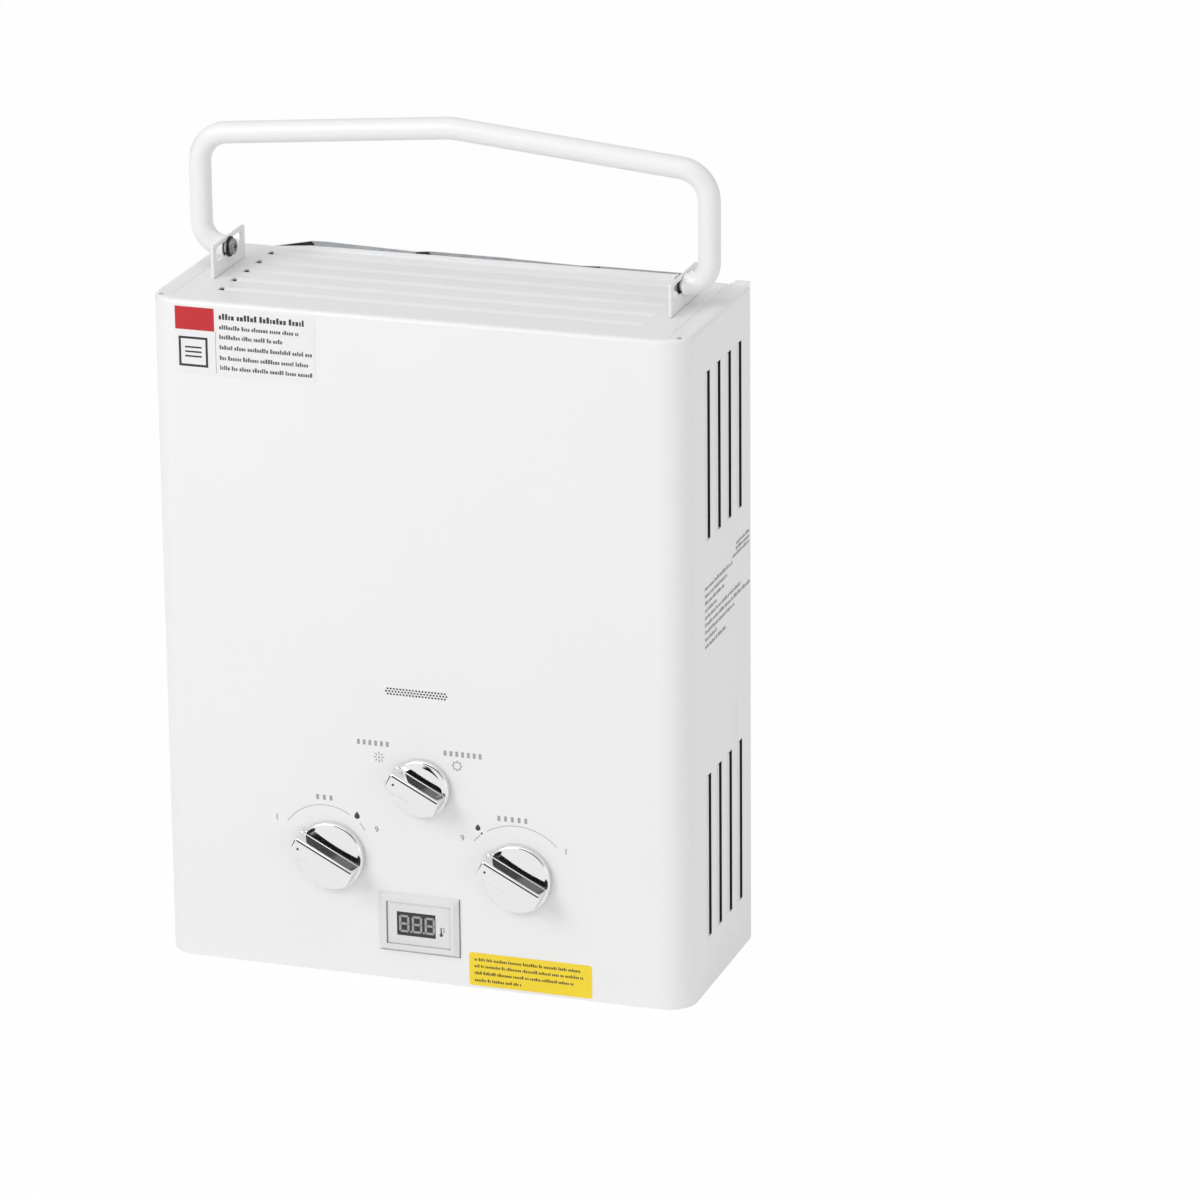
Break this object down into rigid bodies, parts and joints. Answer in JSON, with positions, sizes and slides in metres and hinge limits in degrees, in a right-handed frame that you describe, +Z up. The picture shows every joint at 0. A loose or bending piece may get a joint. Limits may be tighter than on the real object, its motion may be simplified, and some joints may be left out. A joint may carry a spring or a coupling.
{
  "type": "portable propane water heater",
  "caption": "Flat upright gas water heater with louvred sheet casing, folding tube handle, chrome dial knobs and pipe connections in a recess underneath.",
  "frame": {"origin": "bottom centre of the bounding box, on the surface that the casing stands on", "axes": "X to the right seen from the front, +Y to the rear, +Z up"},
  "size_m": [0.3, 0.13, 0.4646],
  "materials": {
    "white_paint": "gloss powder coat",
    "galvanised": "zinc coated sheet",
    "steel": "plain steel",
    "chrome": "chrome plate",
    "brass": "machined",
    "copper": "drawn copper",
    "aluminium": "die cast",
    "black_plastic": "moulded",
    "nylon": "moulded",
    "bright_plastic": "moulded, glossy",
    "grey_plastic": "moulded",
    "dark_pane": "glossy",
    "yellow_label": "printed film",
    "white_label": "printed film",
    "ceramic": "glazed"
  },
  "bodies": {
    "casing": {"front_cover": "white_paint", "handle_bracket_left": "white_paint", "handle_bracket_right": "white_paint", "rear_panel": "galvanised", "bottom_plate": "galvanised", "burner_rack": "galvanised", "exchanger_hangers": "galvanised", "flue_hood": "galvanised", "valve_brackets": "galvanised", "cover_screws": "steel", "window_mesh": "steel", "burner_bars": "steel", "chassis_screws": "steel", "gas_solenoid": "steel", "battery_cells": "steel", "gas_inlet": "brass", "cold_inlet": "brass", "hot_outlet": "brass", "gas_nozzles": "brass", "water_valve": "brass", "drain_valve": "brass", "combustion_chamber": "copper", "exchanger_fins": "copper", "exchanger_tubes": "copper", "coil_pipe": "copper", "hot_pipe": "copper", "gas_valve": "aluminium", "gas_riser": "aluminium", "gas_manifold": "aluminium", "diaphragm_cover": "aluminium", "ignition_controller": "black_plastic", "microswitch": "black_plastic", "overheat_switch": "black_plastic", "battery_box": "black_plastic", "display_body": "black_plastic", "temperature_probe": "black_plastic", "display_bezel": "bright_plastic", "display_face": "grey_plastic", "display_pane": "dark_pane", "lower_label": "yellow_label", "upper_label": "white_label", "spark_electrode": "ceramic", "flame_sensor": "ceramic"},
    "handle_slider": {"handle_bushes": "nylon"},
    "handle": {"handle_tube": "white_paint", "handle_plugs": "steel", "handle_screws": "steel", "handle_washers": "steel"},
    "gas_control": {"gas_knob": "chrome", "gas_spindle": "brass"},
    "water_control": {"water_knob": "chrome", "water_spindle": "brass"},
    "season_control": {"season_knob": "chrome", "season_spindle": "brass"},
    "water_flow_rod": {"push_rod": "steel", "return_spring": "steel"},
    "switch_lever": {"microswitch_lever": "steel"},
    "battery_door": {"battery_lid": "black_plastic"},
    "drain_control": {"drain_knob": "black_plastic"}
  },
  "joints": [
    {"name": "handle_slide", "type": "slide", "parent": "casing", "child": "handle_slider", "axis": [0, 1, 0], "range_m": [-0.0145, 0.0145]},
    {"name": "handle_fold", "type": "hinge", "parent": "handle_slider", "child": "handle", "pos_m": [0, 0.015, 0.384], "axis": [1, 0, 0], "range_deg": [-91, 94]},
    {"name": "gas_turn", "type": "hinge", "parent": "casing", "child": "gas_control", "pos_m": [-0.0516, -0.0492, 0.0678], "axis": [0, 1, 0], "range_deg": [0, 114]},
    {"name": "water_turn", "type": "hinge", "parent": "casing", "child": "water_control", "pos_m": [0.0547, -0.0492, 0.0665], "axis": [0, 1, 0], "range_deg": [0, 114]},
    {"name": "season_turn", "type": "hinge", "parent": "casing", "child": "season_control", "pos_m": [0.001, -0.0492, 0.112], "axis": [0, 1, 0], "range_deg": [0, 114]},
    {"name": "water_flow", "type": "slide", "parent": "casing", "child": "water_flow_rod", "axis": [-1, 0, 0], "range_m": [0, 0.0035], "stiffness_N_per_m": 400},
    {"name": "switch_trip", "type": "hinge", "parent": "casing", "child": "switch_lever", "pos_m": [-0.0077, -0.002, 0.0779], "axis": [0, 1, 0], "range_deg": [0, 26]},
    {"name": "battery_door_swing", "type": "hinge", "parent": "casing", "child": "battery_door", "pos_m": [-0.104, 0.057, 0.0051], "axis": [1, 0, 0], "range_deg": [0, 95]},
    {"name": "drain_turn", "type": "hinge", "parent": "casing", "child": "drain_control", "pos_m": [0.088, -0.018, 0.0075], "axis": [0, 0, 1], "range_deg": [0, 360]}
  ],
  "couplings": [
    {"joint": "switch_trip", "follows": "water_flow", "rad_per_m": 125}
  ]
}
